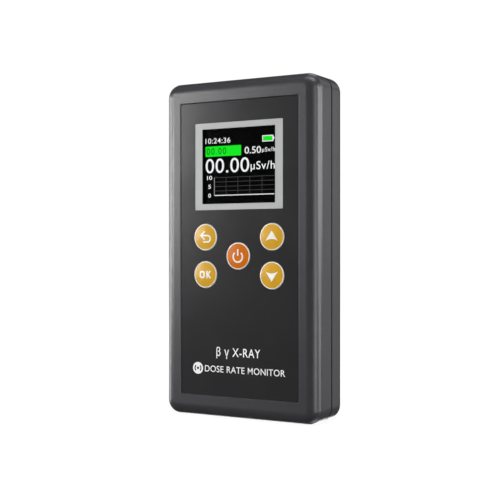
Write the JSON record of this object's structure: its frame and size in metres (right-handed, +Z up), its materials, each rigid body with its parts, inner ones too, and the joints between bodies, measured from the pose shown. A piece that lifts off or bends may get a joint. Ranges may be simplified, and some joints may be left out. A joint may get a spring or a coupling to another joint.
{
  "type": "geiger counter",
  "caption": "Pocket radiation meter: two-shell plastic case, flat front panel with a framed colour display and round push keys, and a counter tube, battery and board inside.",
  "frame": {"origin": "centre of the bottom face's outline: midway across the width and the depth, at the height of the bottom face", "axes": "+Z up along the case's height, +X to the right as seen from the front, +Y from the front face to the back face"},
  "size_m": [0.0644, 0.023, 0.125],
  "materials": {
    "case": "matte, fine spark-eroded grain",
    "seal": "matte",
    "screw": "satin",
    "label": "satin film",
    "panel": "satin film",
    "bezel": "matte light grey print",
    "lens": "clear, polished",
    "display": "gloss",
    "white_plastic": "matte",
    "flex": "satin film",
    "key_body": "satin",
    "cap_amber": "satin",
    "cap_orange": "satin",
    "black_plastic": "matte",
    "board": "solder mask",
    "chip": "matte",
    "component": "satin",
    "tube_glass": "clear",
    "tube_metal": "satin",
    "anode": "bright wire",
    "clip_metal": "bright plated",
    "ferrite": "matte sintered",
    "copper": "enamelled wire",
    "capacitor": "dipped coating",
    "mesh": "woven",
    "foil": "satin foil",
    "tape": "satin film",
    "lead": "flexible sleeve"
  },
  "bodies": {
    "case": {"front_shell": "case", "rear_shell": "case", "case_seal": "seal", "case_screws": "screw", "rear_label": "label", "front_panel": "panel", "display_bezel": "bezel", "display_lens": "lens", "display_gasket": "seal", "display_glass": "display", "backlight_frame": "white_plastic", "display_pad": "seal", "display_flex": "flex", "flex_socket": "white_plastic", "switch_bases": "black_plastic", "main_board": "board", "board_screws": "screw", "processor_chip": "chip", "support_chips": "chip", "small_components": "component", "usb_shell": "screw", "usb_tongue": "black_plastic", "tube_envelope": "tube_glass", "tube_cathode": "tube_metal", "tube_anode": "anode", "tube_end_caps": "clip_metal", "tube_clips": "clip_metal", "hv_transformer_core": "ferrite", "hv_transformer_winding": "copper", "hv_capacitors": "capacitor", "buzzer": "black_plastic", "buzzer_mesh": "mesh", "battery_cell": "foil", "battery_tape": "tape", "battery_leads": "lead", "battery_plug": "white_plastic", "battery_socket": "white_plastic"},
    "key_back": {"key_back": "key_body", "cap_back": "cap_amber", "stem_back": "black_plastic"},
    "key_ok": {"key_ok": "key_body", "cap_ok": "cap_amber", "stem_ok": "black_plastic"},
    "key_power": {"key_power": "key_body", "cap_power": "cap_orange", "stem_power": "black_plastic"},
    "key_up": {"key_up": "key_body", "cap_up": "cap_amber", "stem_up": "black_plastic"},
    "key_down": {"key_down": "key_body", "cap_down": "cap_amber", "stem_down": "black_plastic"}
  },
  "joints": [
    {"name": "back_key_press", "type": "slide", "parent": "case", "child": "key_back", "axis": [0, 1, 0], "range_m": [0, 0.0004], "stiffness_N_per_m": 30, "springref_m": -0.0005},
    {"name": "ok_key_press", "type": "slide", "parent": "case", "child": "key_ok", "axis": [0, 1, 0], "range_m": [0, 0.0004], "stiffness_N_per_m": 30, "springref_m": -0.0005},
    {"name": "power_key_press", "type": "slide", "parent": "case", "child": "key_power", "axis": [0, 1, 0], "range_m": [0, 0.0004], "stiffness_N_per_m": 30, "springref_m": -0.0005},
    {"name": "up_key_press", "type": "slide", "parent": "case", "child": "key_up", "axis": [0, 1, 0], "range_m": [0, 0.0004], "stiffness_N_per_m": 30, "springref_m": -0.0005},
    {"name": "down_key_press", "type": "slide", "parent": "case", "child": "key_down", "axis": [0, 1, 0], "range_m": [0, 0.0004], "stiffness_N_per_m": 30, "springref_m": -0.0005}
  ]
}
